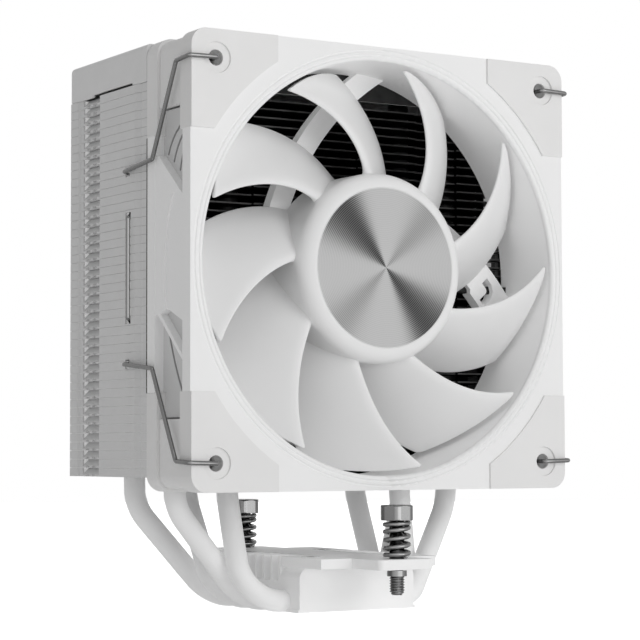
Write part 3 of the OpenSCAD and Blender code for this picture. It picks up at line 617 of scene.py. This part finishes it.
def round_edges(node, width_mm):
    """Join a CAD node's triangles into flat faces, then round its sharp edges, by modifiers."""
    obj = nodes[node]
    weld = obj.modifiers.new("weld", "WELD")
    weld.merge_threshold = 0.002 * MM
    flat = obj.modifiers.new("flat_faces", "DECIMATE")
    flat.decimate_type = "DISSOLVE"
    flat.angle_limit = math.radians(0.5)
    bevel = obj.modifiers.new("edge_rounding", "BEVEL")
    bevel.width = width_mm * MM
    bevel.segments = 2
    bevel.limit_method = "ANGLE"
    bevel.angle_limit = math.radians(35)
    bevel.use_clamp_overlap = True
    shade = obj.modifiers.new("even_shading", "WEIGHTED_NORMAL")
    shade.keep_sharp = False


def dress_cad_nodes():
    for key, names in NODE_MATERIALS.items():
        for name in names:
            paint(nodes[name], key)
    for name, width in (("top_cover", 0.45), ("mounting_bar", 0.35), ("base_block", 0.3),
                        ("front_corner_pads", 0.3), ("rear_corner_pads", 0.3),
                        ("cable_plug", 0.3), ("hub_cap_disc", 0.12)):
        round_edges(name, width)


# ---------------------------------------------------------------- impeller

BLADES = 9
FIRST_TIP_ANGLE = 3.3
HUB_R = 26 * MM
HUB_BACK = 19.4 * MM
DISC_SEAT_R = high("hub_cap_disc")[0] + 0.1 * MM
TIP_R = 55 * MM
BLADE_TRAIL_DEPTH = 19.2 * MM

# The edges' sweep in degrees for each millimetre inwards, the leading edge's bow and the
# angle between the two edges at the tip in degrees, and the leading edge's depth at the
# tip with what the root adds to it
LEAD_SWEEP, LEAD_BOW = -0.895, -5
TRAIL_SWEEP, TRAIL_AT_TIP = -1.13, -29
LEAD_DEPTH, ROOT_DEPTH = 1.8 * MM, 3.8 * MM

CAMBER = 0.22
CHORD_STEPS = 26
NOSE_SHARE = 0.12
TAIL_START = 0.97


def blade_edges(r):
    """Angles of the leading and trailing edges, from the front tip, and the leading edge's
    depth, at a radius in metres."""
    inward = (TIP_R - r) / MM
    share = (TIP_R - r) / (TIP_R - HUB_R)
    lead = LEAD_SWEEP * inward + LEAD_BOW * share * (1 - share)
    trail = TRAIL_AT_TIP + TRAIL_SWEEP * inward
    return lead, trail, LEAD_DEPTH + ROOT_DEPTH * share ** 3


def blade_thickness(s, r):
    """Thickness at share s of the chord: round nose, thin tail, and a flare at the hub."""
    nose = math.sqrt(max(0.0, 1 - (1 - min(s / NOSE_SHARE, 1)) ** 2))
    tail = 1 - 0.62 * max(0.0, (s - NOSE_SHARE) / (1 - NOSE_SHARE))
    root = 0.9
    flare = 1 + root
    if r > HUB_R - 0.5 * MM:
        flare = 1 + root * math.exp(-((r - HUB_R) / MM) / root)
    end = 1
    if s >= TAIL_START:
        beyond = (s - TAIL_START) / (1 - TAIL_START)
        end = math.sqrt(max(0.0, 1 - beyond ** 2)) * 0.7 + 0.3
    return (0.1 + 1.7 * nose) * tail * flare * end * MM


def blade_ring(r, trim, thin):
    """The blade's closed section at a radius, with its chord trimmed at both ends."""
    lead, trail, lead_depth = blade_edges(r)
    run = r * math.radians(lead - trail)
    rise = BLADE_TRAIL_DEPTH - lead_depth
    across = unit(np.array([rise, run]))
    shares = (1 - np.cos(np.linspace(0, math.pi, CHORD_STEPS))) / 2
    sides = ([], [])
    for s in trim + (1 - 2 * trim) * shares:
        angle = math.radians(lead + (trail - lead) * s)
        depth = lead_depth + rise * (s - CAMBER * s * (1 - s))
        half = blade_thickness(s, r) / 2 * thin
        for side, sign in zip(sides, (1, -1)):
            shift = sign * half * across[0]
            side.append((r * math.cos(angle) - math.sin(angle) * shift,
                         FAN_FRONT + depth + sign * half * across[1],
                         FAN_Z + r * math.sin(angle) + math.cos(angle) * shift))
    return sides[0] + sides[1][::-1]


def turned_about_fan(points, angle):
    a = math.radians(angle)
    c, s = math.cos(a), math.sin(a)
    return [(x * c - (z - FAN_Z) * s, y, FAN_Z + x * s + (z - FAN_Z) * c) for x, y, z in points]


def build_blades():
    """All blades: rings from inside the hub to the tip, whose corners are rounded."""
    tip_round_start = 54
    radii = list(np.linspace(24.8, 28, 8)) + list(np.linspace(29.5, tip_round_start, 18))
    rings = [blade_ring(r * MM, 0, 1) for r in radii]
    corner, chord, thin_from = 1.6, 33, 1.3
    for a in np.radians(np.linspace(10, 90, 7)):
        inset = corner * (1 - math.cos(a)) / chord
        r = tip_round_start + math.sin(a)
        rings.append(blade_ring(r * MM, inset, 1 if a < thin_from else 0.8))
    blades = []
    for i in range(BLADES):
        angle = FIRST_TIP_ANGLE + 360 * i / BLADES
        blades.append(loft(f"blade_{i}", [turned_about_fan(ring, angle) for ring in rings]))
    return blades


def build_hub():
    """The hub: a cup with a seat for the disc, a round shoulder and a boss for the shaft."""
    front = 0.6 * MM
    shoulder = 4.3 * MM
    corner = 0.3 * MM
    inner = HUB_R - 1.7 * MM
    seat_depth = 1.6 * MM
    bore_r = 2 * MM
    profile = [(bore_r, seat_depth), (DISC_SEAT_R, seat_depth), (DISC_SEAT_R, front + 0.1 * MM),
               (DISC_SEAT_R + 0.12 * MM, front)]
    for a in np.radians(np.linspace(96, 0, 22)):
        profile.append((HUB_R - shoulder + shoulder * math.cos(a),
                        front + shoulder - shoulder * math.sin(a)))
    profile += [(HUB_R, HUB_BACK - corner), (HUB_R - corner, HUB_BACK), (inner, HUB_BACK),
                (inner, 3.6 * MM), (inner - 1.4 * MM, 3 * MM), (4.6 * MM, 3 * MM),
                (4.2 * MM, 6 * MM), (bore_r, 6 * MM)]
    return lathe("hub", profile, (0, FAN_FRONT, FAN_Z), steps=256)


def join(name, objects):
    bpy.ops.object.select_all(action="DESELECT")
    for obj in objects:
        obj.select_set(True)
    bpy.context.view_layer.objects.active = objects[0]
    bpy.ops.object.join()
    objects[0].name = name
    objects[0].data.name = name
    return objects[0]


def build_impeller():
    blades = build_blades()
    return join("impeller_smooth", [build_hub()] + blades)


# ---------------------------------------------------------------- pipes, clips and cable

PIPE_R = 3 * MM
PIPE_Z = 2.8 * MM
KNEE_BEND_R = 14 * MM
FRONT_LEG_Y, REAR_LEG_Y = 0.4 * MM, 24.4 * MM

# How far out a leg stands, and the height of its knee, in millimetres
INNER_LEG, OUTER_LEG = (28.6, 31), (45, 28.4)

# Each pipe, front to rear: its row in depth in millimetres, its legs' place in depth, and
# its left and its right leg, each with how far out its foot is
PIPES = {
    "heat_pipe_1": (-13.5, FRONT_LEG_Y, (*INNER_LEG, 31.5), (*OUTER_LEG, 22.8)),
    "heat_pipe_2": (-4.5, FRONT_LEG_Y, (*OUTER_LEG, 26.5), (*INNER_LEG, 28.2)),
    "heat_pipe_3": (4.5, REAR_LEG_Y, (*INNER_LEG, 29.8), (*OUTER_LEG, 25.5)),
    "heat_pipe_4": (13.5, REAR_LEG_Y, (*OUTER_LEG, 26.6), (*INNER_LEG, 29.5)),
}


def build_pipe(node):
    """The bent pipe that a CAD pipe stands for: legs, slanting runs and a flat row."""
    row_y, leg_y, left, right = PIPES[node]
    top = high(node)[2]
    base_lip = 0.5 * MM
    straight_end = 0.7 * MM
    bend_end = high("base_block")[0] - base_lip + straight_end
    points, radii = [], []
    for side, (leg_x, knee_z, foot_x) in ((-1, left), (1, right)):
        leg = np.array([leg_x * MM, leg_y, top])
        knee = np.array([leg_x * MM, leg_y, knee_z * MM])
        foot = np.array([foot_x * MM, row_y * MM, PIPE_Z])
        turn = math.acos(float(unit(foot - knee) @ np.array([-1, 0, 0])))
        foot_r = (foot[0] - bend_end) / math.tan(turn / 2)
        half = [p * np.array([side, 1, 1]) for p in (leg, knee, foot)]
        half_radii = [0, KNEE_BEND_R, foot_r]
        points += half if side < 0 else half[::-1]
        radii += half_radii if side < 0 else half_radii[::-1]
    return tube(node + "_bent", rounded_path(points, radii), PIPE_R, sides=40,
                end_round=0.6 * MM, floor_z=0.0)


def build_clip(node, side):
    """A wire clip, hooked in the fan's holes and held in the fins' folded edge."""
    start, end = low(node), high(node)
    hold = joints[("left" if side < 0 else "right") + "_clip_swing"]["pos_m"]
    wire_r = 0.6 * MM
    out_x = max(abs(start[0]), abs(end[0])) - wire_r
    front_y = start[1] + wire_r
    tip_x = min(abs(start[0]), abs(end[0])) + wire_r
    top = end[2] - wire_r - FAN_Z
    bend_up = 26 * MM
    slot_up = 13.5 * MM
    tip_y = FAN_FRONT + 3.2 * MM
    side_bend_y = FAN_FRONT + 6.6 * MM
    rear_bend_y = FAN_FRONT + 19.9 * MM
    hold_x, hold_y = abs(hold[0]), hold[1]
    half = [
        (tip_x, tip_y, top), (tip_x, front_y, top), (out_x, front_y, top - 0.2 * MM),
        (out_x, side_bend_y, top - 0.6 * MM), (out_x, rear_bend_y, bend_up + 1.6 * MM),
        (out_x, hold_y, bend_up), (hold_x, hold_y, bend_up), (hold_x, hold_y, slot_up + 1 * MM),
        (STACK_HIGH[0] + 0.3 * MM, hold_y - 1.3 * MM, slot_up),
    ]
    radii = [r * MM for r in (0, 0.9, 1, 1.2, 1.2, 0.8, 0.8, 0.5, 0.5)]
    points = [(side * x, y, FAN_Z + z) for x, y, z in half]
    points += [(side * x, y, FAN_Z - z) for x, y, z in half[::-1]]
    path = rounded_path(points, radii + radii[::-1], arc_step=9, run_step=3 * MM)
    return tube(node + "_round", path, wire_r, sides=20, end_round=0.25 * MM)


def build_cable():
    """The cable, from the board through the strut's channel and down to the hanging plug."""
    start, end = low("fan_cable"), high("fan_cable")
    cable_r = 1.1 * MM
    channel_z = FAN_Z - 3 * MM
    board_y = FAN_FRONT + 17.3 * MM
    start_x, out_x = start[0] + cable_r, end[0] - cable_r
    back_y = end[1] - cable_r
    points = [(start_x, board_y, channel_z), (start_x, back_y, channel_z),
              (out_x, back_y, channel_z), (out_x, back_y, start[2])]
    radii = [r * MM for r in (0, 1.4, 3, 0)]
    path = rounded_path(points, radii, arc_step=9, run_step=2 * MM)
    return tube("fan_cable_sleeved", path, cable_r, end_round=0.2 * MM)


# ---------------------------------------------------------------- springs and screws

SPRING_WIRE = 1.2 * MM
SPRING_TURNS = 5
SPRING_DEAD = 0.8
SPRING_STEPS = 40

# How far a closed end turn rises, in wire thicknesses
CLOSED_RISE = 0.56


def build_spring(node):
    """A compression spring with closed ends, between its CAD coil's two seats."""
    start, end = low(node), high(node)
    mid_r = (end[0] - start[0] - SPRING_WIRE) / 2
    y = (start[1] + end[1]) / 2
    bottom, top = start[2] + SPRING_WIRE / 2, end[2] - SPRING_WIRE / 2
    travel = top - bottom
    closed = SPRING_WIRE * CLOSED_RISE
    marks = [0, SPRING_DEAD, SPRING_TURNS - SPRING_DEAD, SPRING_TURNS]
    heights = [0, closed, travel - closed, travel]
    turns = np.linspace(0, SPRING_TURNS, SPRING_TURNS * SPRING_STEPS + 1)
    z = bottom + np.interp(turns, marks, heights)
    angles = 2 * np.pi * turns
    path = np.stack([mid_r * np.cos(angles), y + mid_r * np.sin(angles), z], 1)
    return tube(node + "_coil", path, SPRING_WIRE / 2, sides=16, end_round=0.15 * MM)


THREAD_PITCH = 0.7 * MM
THREAD_DEPTH = 0.32 * MM


def hex_radius(angle, across_flats, corner=0.35 * MM):
    """Distance from the axis to a hexagon with slightly rounded corners."""
    turned = (math.degrees(angle) % 60) - 30
    flat = across_flats / 2 / math.cos(math.radians(turned))
    limit = across_flats / 2 / math.cos(math.radians(30)) - corner
    return min(flat, limit + 0.2 * (flat - limit)) if flat > limit else flat


def cross_recess(x, y, arm, half_width, edge):
    """1 inside a cross, falling smoothly to 0 outside it."""
    def share(distance):
        t = min(1.0, max(0.0, distance / edge + 0.5))
        return t * t * (3 - 2 * t)
    first = min(share(arm - abs(x)), share(half_width - abs(y)))
    second = min(share(arm - abs(y)), share(half_width - abs(x)))
    return max(first, second)


def build_screw(node):
    """A mounting screw: threaded end, neck for its ring, smooth shank, hex head."""
    start, end = low(node), high(node)
    ring_node = node.replace("mount_screw", "retaining_ring")
    ring_low, ring_high = low(ring_node)[2], high(ring_node)[2]
    y = (start[1] + end[1]) / 2
    shank_r, neck_r = 2 * MM, 1.6 * MM
    edge = 0.1 * MM
    recess_depth = 1.7 * MM
    head_low = high(node.replace("mount_screw", "screw_spring"))[2] + 0.02 * MM
    flats = end[1] - start[1]
    sides = 144
    rings = []

    def ring(z, radius_at):
        points = []
        for k in range(sides):
            a = 2 * math.pi * k / sides
            r = radius_at(a)
            points.append((r * math.cos(a), y + r * math.sin(a), z))
        rings.append(points)

    def thread(z):
        def radius(a):
            phase = ((z / THREAD_PITCH) - a / (2 * math.pi)) % 1
            ridge = 1 - abs(2 * phase - 1)
            fade = min(1.0, max(0.0, (z - start[2] - edge) / (0.7 * MM)))
            return shank_r - THREAD_DEPTH * (1 - min(1, 1.25 * ridge)) - 0.5 * MM * (1 - fade)
        return radius

    for z in np.linspace(start[2], ring_low - edge, 60):
        ring(z, thread(z))
    ring(ring_low - edge, lambda a: neck_r)
    ring(ring_high + edge, lambda a: neck_r)
    ring(ring_high + edge, lambda a: shank_r - edge)
    ring(ring_high + 2 * edge, lambda a: shank_r)
    ring(head_low - 0.01 * MM, lambda a: shank_r)
    ring(head_low, lambda a: shank_r + edge)
    chamfer = flats / 2 * 1.13
    head_profile = [(0.0, 0.93), (0.12, 0.97), (0.35, 1.0), (0.5, 1.02)]
    for up, share in head_profile:
        ring(head_low + up * MM, lambda a, s=share: min(hex_radius(a, flats), chamfer * s))
    height = end[2] - head_low
    for t in np.linspace(0.55 * MM, height - 0.75 * MM, 8):
        ring(head_low + t, lambda a: hex_radius(a, flats))
    rounding = [(0.6, 1.01), (0.42, 0.985), (0.25, 0.95), (0.12, 0.9), (0.03, 0.85), (0.0, 0.82)]
    for down, share in rounding:
        ring(end[2] - down * MM, lambda a, s=share: min(hex_radius(a, flats), chamfer * s))
    top_r = chamfer * rounding[-1][1]
    for share in np.linspace(0.97, 0.02, 40):
        points = []
        for k in range(sides):
            a = 2 * math.pi * k / sides
            x, dy = top_r * share * math.cos(a), top_r * share * math.sin(a)
            dip = cross_recess(x, dy, arm=2.4 * MM, half_width=0.5 * MM, edge=0.15 * MM)
            points.append((x, y + dy, end[2] - recess_depth * dip))
        rings.append(points)
    return loft(node + "_fine", rings)


# ---------------------------------------------------------------- linings of the fin stack

# A side lining in plan: how far in from the side, and how far behind the fins' front
LINING_PATH = [(1.12, 0.3), (1.12, 4.2), (0.42, 6.7), (0.42, 8.6), (2.75, 8.9), (2.75, 12.7),
               (0.42, 13.0), (0.42, 27.8), (2.6, 28.1), (2.6, 38.5), (0.42, 38.7), (0.42, 39),
               (1.02, 39.4), (1.02, 41.4), (0.42, 42), (0.42, 46.4)]


def build_folded_sheet(name, path, offset):
    """A thin sheet as high as the fin stack, along a path in plan, thickened by offset."""
    heights = np.linspace(STACK_LOW[2] + 0.1 * MM, STACK_HIGH[2] - 0.1 * MM, 12)
    points = [(x + dx, y + dy, z) for z in heights for dx, dy in ((0, 0), offset) for x, y in path]
    n = len(path)
    faces = []
    for level in range(len(heights) - 1):
        low_row, high_row = level * 2 * n, (level + 1) * 2 * n
        for k in range(n - 1):
            for row in (0, n):
                faces.append((low_row + row + k, low_row + row + k + 1, high_row + row + k + 1,
                              high_row + row + k))
        for k in (0, n - 1):
            faces.append((low_row + k, low_row + n + k, high_row + n + k, high_row + k))
    for row in (0, (len(heights) - 1) * 2 * n):
        for k in range(n - 1):
            faces.append((row + k, row + k + 1, row + n + k + 1, row + n + k))
    return face_outwards(make_object(name, points, faces, smooth=False))


def add_linings():
    """Folds that close the gaps between the fins: along both sides, and a dark one across
    the middle of the stack, between the rows of pipes, which is a sheet of painted shade."""
    sheet = 0.16 * MM
    side_gap = 3.2 * MM
    half = STACK_HIGH[0] - side_gap
    fold, steps = 2 * MM, 41
    across = [(float(x), float(STACK_MIDDLE_Y + (k % 2) * fold))
              for k, x in enumerate(np.linspace(-half, half, steps))]
    # The dark sheet across the middle is painted shade, where the stack has only shade.
    pieces = [("fin_core_fold", across, (0, sheet), "core")]
    for name, side in (("left_fin_lining", -1), ("right_fin_lining", 1)):
        path = [(side * (STACK_HIGH[0] - inward * MM), STACK_LOW[1] + back * MM)
                for inward, back in LINING_PATH]
        pieces.append((name, path, (-side * sheet, 0), "lining"))
    for name, path, offset, key in pieces:
        lining = build_folded_sheet(name, path, offset)
        paint(lining, key)
        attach(lining, "heatsink")


def build_smooth_pieces():
    """Every piece that stands for a CAD node, with its body and material."""
    for node in PIPES:
        add(build_pipe(node), node, "pipe_coat")
    for end in ("front", "rear"):
        spring = f"{end}_screw_spring"
        add(build_spring(spring), spring, "spring")
        add(build_screw(f"{end}_mount_screw"), f"{end}_mount_screw", "chrome")
    add(build_clip("left_wire_clip", -1), "left_wire_clip", "wire")
    add(build_clip("right_wire_clip", 1), "right_wire_clip", "wire")
    add(build_cable(), "fan_cable", "sleeve")
    add(build_impeller(), "impeller", "blade_plastic")


def add(obj, node, key):
    """Let obj stand for a CAD node: same body, its own material."""
    paint(obj, key)
    bodies = frame["record"]["behaviour"]["bodies"]
    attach(obj, next(body for body, members in bodies.items() if node in members))
    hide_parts(node)
    if node.endswith("screw_spring"):
        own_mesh(obj)


# ---------------------------------------------------------------- studio

def add_camera():
    data = bpy.data.cameras.new("camera")
    data.lens = CAMERA_LENS
    data.sensor_width = 36
    data.clip_start = 0.01
    data.clip_end = 50
    camera = bpy.data.objects.new("camera", data)
    bpy.context.scene.collection.objects.link(camera)
    a, e = math.radians(CAMERA_AZIMUTH), math.radians(CAMERA_ELEVATION)
    back = Vector((math.sin(a) * math.cos(e), -math.cos(a) * math.cos(e), math.sin(e)))
    camera.location = CAMERA_AT
    facing = back.to_track_quat("Z", "Y")
    camera.rotation_mode = "QUATERNION"
    camera.rotation_quaternion = facing @ Quaternion((0, 0, 1), math.radians(CAMERA_ROLL))
    bpy.context.scene.camera = camera


# Strength of the surroundings for matte and for shiny surfaces, and of the floor's own
# light as the object sees it
PLAIN_LIGHT = 0.35
SHINY_LIGHT = 0.7
FLOOR_LIGHT = 0.15

# Distance from the middle in metres, and the floor's brightness for the camera there
FLOOR_FADE = [(0.05, 0.8), (0.3, 1.0)]


def add_softbox(name, at, size, power, target=(0, 0, 0.09)):
    """A soft light that shiny surfaces don't show: they see the surroundings instead. Places
    and sizes are in metres, the power is in watts."""
    data = bpy.data.lights.new(name, "AREA")
    data.shape = "RECTANGLE"
    data.size, data.size_y = size
    data.energy = power
    light = bpy.data.objects.new(name, data)
    bpy.context.scene.collection.objects.link(light)
    light.location = at
    light.rotation_mode = "QUATERNION"
    light.rotation_quaternion = (Vector(at) - Vector(target)).to_track_quat("Z", "Y")
    light.visible_glossy = False


def add_world():
    """Even pale surroundings, brighter for shiny surfaces and white behind the object."""
    world = bpy.data.worlds.new("studio")
    bpy.context.scene.world = world
    world.use_nodes = True
    tree = world.node_tree
    tree.nodes.clear()
    out = tree.nodes.new("ShaderNodeOutputWorld")
    background = tree.nodes.new("ShaderNodeBackground")
    paths = tree.nodes.new("ShaderNodeLightPath").outputs
    tree.links.new(background.outputs["Background"], out.inputs["Surface"])

    def lifted(value, path, level):
        node = tree.nodes.new("ShaderNodeMix")
        node.inputs["A"].default_value = value
        node.inputs["B"].default_value = level
        tree.links.new(paths[path], node.inputs["Factor"])
        return node

    shiny = lifted(PLAIN_LIGHT, "Is Glossy Ray", SHINY_LIGHT)
    seen = lifted(0.0, "Is Camera Ray", 1.0)
    tree.links.new(shiny.outputs["Result"], seen.inputs["A"])
    tree.links.new(seen.outputs["Result"], background.inputs["Strength"])
    background.inputs["Color"].default_value = (1, 1, 1, 1)


def add_floor():
    """A round pale floor that fades to the white of the background."""
    rings, sides, reach = 24, 96, 1.2
    points = [(0, 0, 0)]
    faces = []
    for i in range(1, rings + 1):
        r = reach * i / rings
        points += [(r * math.cos(2 * math.pi * k / sides), r * math.sin(2 * math.pi * k / sides), 0)
                   for k in range(sides)]
    for k in range(sides):
        q = (k + 1) % sides
        faces.append((0, 1 + k, 1 + q))
        for i in range(rings - 1):
            faces.append((1 + i * sides + k, 1 + (i + 1) * sides + k, 1 + (i + 1) * sides + q,
                          1 + i * sides + q))
    floor = make_object("floor", points, faces)
    s = Shader("floor_paper")
    fibre = s.noise(400, 3)
    x, y, _ = s.xyz()
    distance = s.math("SQRT", s.math("ADD", s.math("MULTIPLY", x, x), s.math("MULTIPLY", y, y)))
    glow = s.ramp(distance, FLOOR_FADE)
    seen = s.add("ShaderNodeLightPath").outputs["Is Camera Ray"]
    s.set(Base_Color=s.ramp(fibre, [(0.3, grey(0.93)), (0.7, grey(0.95))]), Roughness=0.9)
    s.set(**{"Specular IOR Level": 0.0, "Emission Color": glow,
             "Emission Strength": s.math("MULTIPLY_ADD", seen, 1 - FLOOR_LIGHT, FLOOR_LIGHT)})
    floor.data.materials.append(s.material)


def add_studio():
    add_camera()
    add_world()
    add_floor()
    add_softbox("key", (0.5, -1.6, 0.9), (1.0, 1.0), 6)
    add_softbox("low", (0.15, -1.4, 0.1), (0.8, 0.3), 4.5, (0, 0, 0.04))
    add_softbox("top", (0.0, 0.2, 1.5), (1.2, 1.2), 2)
    add_softbox("rear", (0.6, 1.4, 0.7), (1.2, 1.0), 3)
    bpy.context.scene.view_settings.view_transform = "Standard"


dress_cad_nodes()
build_smooth_pieces()
add_linings()
add_studio()
